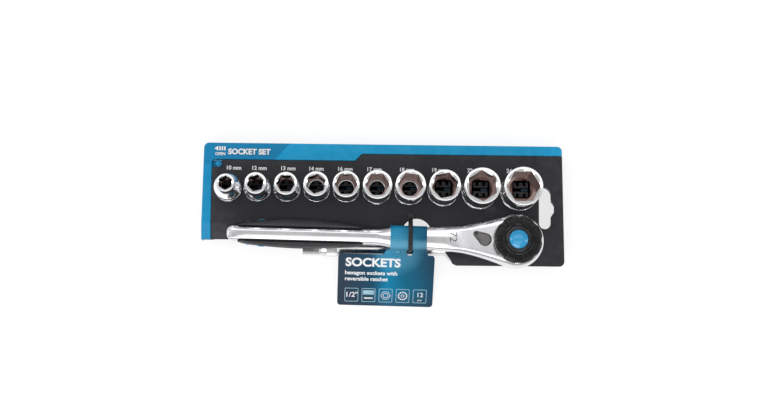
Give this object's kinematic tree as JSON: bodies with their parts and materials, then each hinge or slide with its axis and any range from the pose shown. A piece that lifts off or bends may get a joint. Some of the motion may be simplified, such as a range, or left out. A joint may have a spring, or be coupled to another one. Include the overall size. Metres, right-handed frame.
{
  "type": "socket wrench set",
  "caption": "Half-inch drive socket set: hex sockets on split posts of a black hanging holder with a blue locking slide, reversible ratchet, extension bar and hang card.",
  "frame": {"origin": "middle of the holder's back plane, on which it lies", "axes": "+Z out of the holder's face, +X along the row of sockets to the largest, +Y to its top edge"},
  "size_m": [0.3025, 0.131, 0.0633],
  "materials": {
    "holder_black": "fine grained black moulding",
    "lock_blue": "satin blue moulding",
    "socket_chrome": "bright chrome plate",
    "ratchet_chrome": "satin chrome plate",
    "bar_chrome": "bright chrome plate",
    "lever_steel": "satin steel",
    "inner_steel": "ground steel",
    "spring_steel": "spring wire",
    "wheel_black": "black moulding",
    "button_blue": "glossy blue dome",
    "grip_black": "soft black grip",
    "inlay_blue": "soft blue accent",
    "card_print": "glossy printed card",
    "tie_black": "nylon"
  },
  "bodies": {
    "holder": {"holder_panel": "holder_black", "post_strip": "holder_black", "drive_cup": "holder_black"},
    "slide": {"lock_slide": "lock_blue", "lock_bar": "lock_blue", "lock_button_spring": "spring_steel"},
    "button": {"lock_button": "lock_blue"},
    "socket_10mm": {"socket_10mm": "socket_chrome"},
    "socket_12mm": {"socket_12mm": "socket_chrome"},
    "socket_13mm": {"socket_13mm": "socket_chrome"},
    "socket_14mm": {"socket_14mm": "socket_chrome"},
    "socket_16mm": {"socket_16mm": "socket_chrome"},
    "socket_17mm": {"socket_17mm": "socket_chrome"},
    "socket_18mm": {"socket_18mm": "socket_chrome"},
    "socket_19mm": {"socket_19mm": "socket_chrome"},
    "socket_22mm": {"socket_22mm": "socket_chrome"},
    "socket_24mm": {"socket_24mm": "socket_chrome"},
    "ratchet": {"ratchet_body": "ratchet_chrome", "back_plate": "ratchet_chrome", "plate_screw_1": "inner_steel", "plate_screw_2": "inner_steel", "plate_screw_3": "inner_steel", "grip_upper": "grip_black", "grip_lower": "grip_black", "inlay_upper": "inlay_blue", "inlay_lower": "inlay_blue", "hang_card": "card_print", "cable_tie": "tie_black"},
    "drive": {"drive_gear": "inner_steel", "thumb_wheel": "wheel_black", "retaining_ring": "inner_steel", "release_spring": "spring_steel"},
    "release": {"release_button": "button_blue", "release_pin": "inner_steel"},
    "drive_ball": {"drive_ball": "inner_steel"},
    "lever": {"reverse_lever": "lever_steel", "lever_plunger": "inner_steel", "plunger_spring": "spring_steel"},
    "pawl": {"pawl": "inner_steel"},
    "bar": {"extension_bar": "bar_chrome", "bar_ball_spring": "spring_steel"},
    "bar_ball": {"bar_ball": "inner_steel"}
  },
  "joints": [
    {"name": "slide_lock", "type": "slide", "parent": "holder", "child": "slide", "axis": [-1, 0, 0], "range_m": [0, 0.006]},
    {"name": "lock_button_press", "type": "slide", "parent": "slide", "child": "button", "axis": [0, 0, -1], "range_m": [0, 0.0018], "stiffness_N_per_m": 400, "springref_m": -0.0005, "deforming": ["lock_button_spring"]},
    {"name": "socket_10mm_lift", "type": "slide", "parent": "holder", "child": "socket_10mm", "axis": [0, 0, 1], "range_m": [0, 0.03]},
    {"name": "socket_12mm_lift", "type": "slide", "parent": "holder", "child": "socket_12mm", "axis": [0, 0, 1], "range_m": [0, 0.03]},
    {"name": "socket_13mm_lift", "type": "slide", "parent": "holder", "child": "socket_13mm", "axis": [0, 0, 1], "range_m": [0, 0.03]},
    {"name": "socket_14mm_lift", "type": "slide", "parent": "holder", "child": "socket_14mm", "axis": [0, 0, 1], "range_m": [0, 0.03]},
    {"name": "socket_16mm_lift", "type": "slide", "parent": "holder", "child": "socket_16mm", "axis": [0, 0, 1], "range_m": [0, 0.03]},
    {"name": "socket_17mm_lift", "type": "slide", "parent": "holder", "child": "socket_17mm", "axis": [0, 0, 1], "range_m": [0, 0.03]},
    {"name": "socket_18mm_lift", "type": "slide", "parent": "holder", "child": "socket_18mm", "axis": [0, 0, 1], "range_m": [0, 0.03]},
    {"name": "socket_19mm_lift", "type": "slide", "parent": "holder", "child": "socket_19mm", "axis": [0, 0, 1], "range_m": [0, 0.03]},
    {"name": "socket_22mm_lift", "type": "slide", "parent": "holder", "child": "socket_22mm", "axis": [0, 0, 1], "range_m": [0, 0.03]},
    {"name": "socket_24mm_lift", "type": "slide", "parent": "holder", "child": "socket_24mm", "axis": [0, 0, 1], "range_m": [0, 0.03]},
    {"name": "ratchet_lift", "type": "slide", "parent": "holder", "child": "ratchet", "axis": [0, 0, 1], "range_m": [0, 0.04]},
    {"name": "drive_spin", "type": "hinge", "parent": "ratchet", "child": "drive", "pos_m": [0.1105, -0.0309, 0.04], "axis": [0, 0, 1], "continuous": true},
    {"name": "release_press", "type": "slide", "parent": "drive", "child": "release", "axis": [0, 0, -1], "range_m": [0, 0.0025], "stiffness_N_per_m": 600, "springref_m": -0.0008, "deforming": ["release_spring"]},
    {"name": "drive_ball_retract", "type": "slide", "parent": "drive", "child": "drive_ball", "axis": [-0.9998, 0.0175, 0], "range_m": [0, 0.0008]},
    {"name": "lever_flip", "type": "hinge", "parent": "ratchet", "child": "lever", "pos_m": [0.0837, -0.03043, 0.045], "axis": [0, 0, 1], "range_deg": [0, 62]},
    {"name": "pawl_shift", "type": "hinge", "parent": "ratchet", "child": "pawl", "pos_m": [0.1105, -0.0309, 0.033], "axis": [0, 0, 1], "range_deg": [-8, 0]},
    {"name": "bar_slide", "type": "slide", "parent": "holder", "child": "bar", "axis": [-1, 0, 0], "range_m": [0, 0.034]},
    {"name": "bar_ball_press", "type": "slide", "parent": "bar", "child": "bar_ball", "axis": [0, 0, 1], "range_m": [0, 0.0008], "stiffness_N_per_m": 300, "springref_m": -0.0005}
  ],
  "couplings": [
    {"joint": "pawl_shift", "follows": "lever_flip", "ratio": -0.12903},
    {"joint": "drive_ball_retract", "follows": "release_press", "ratio": 0.32}
  ]
}
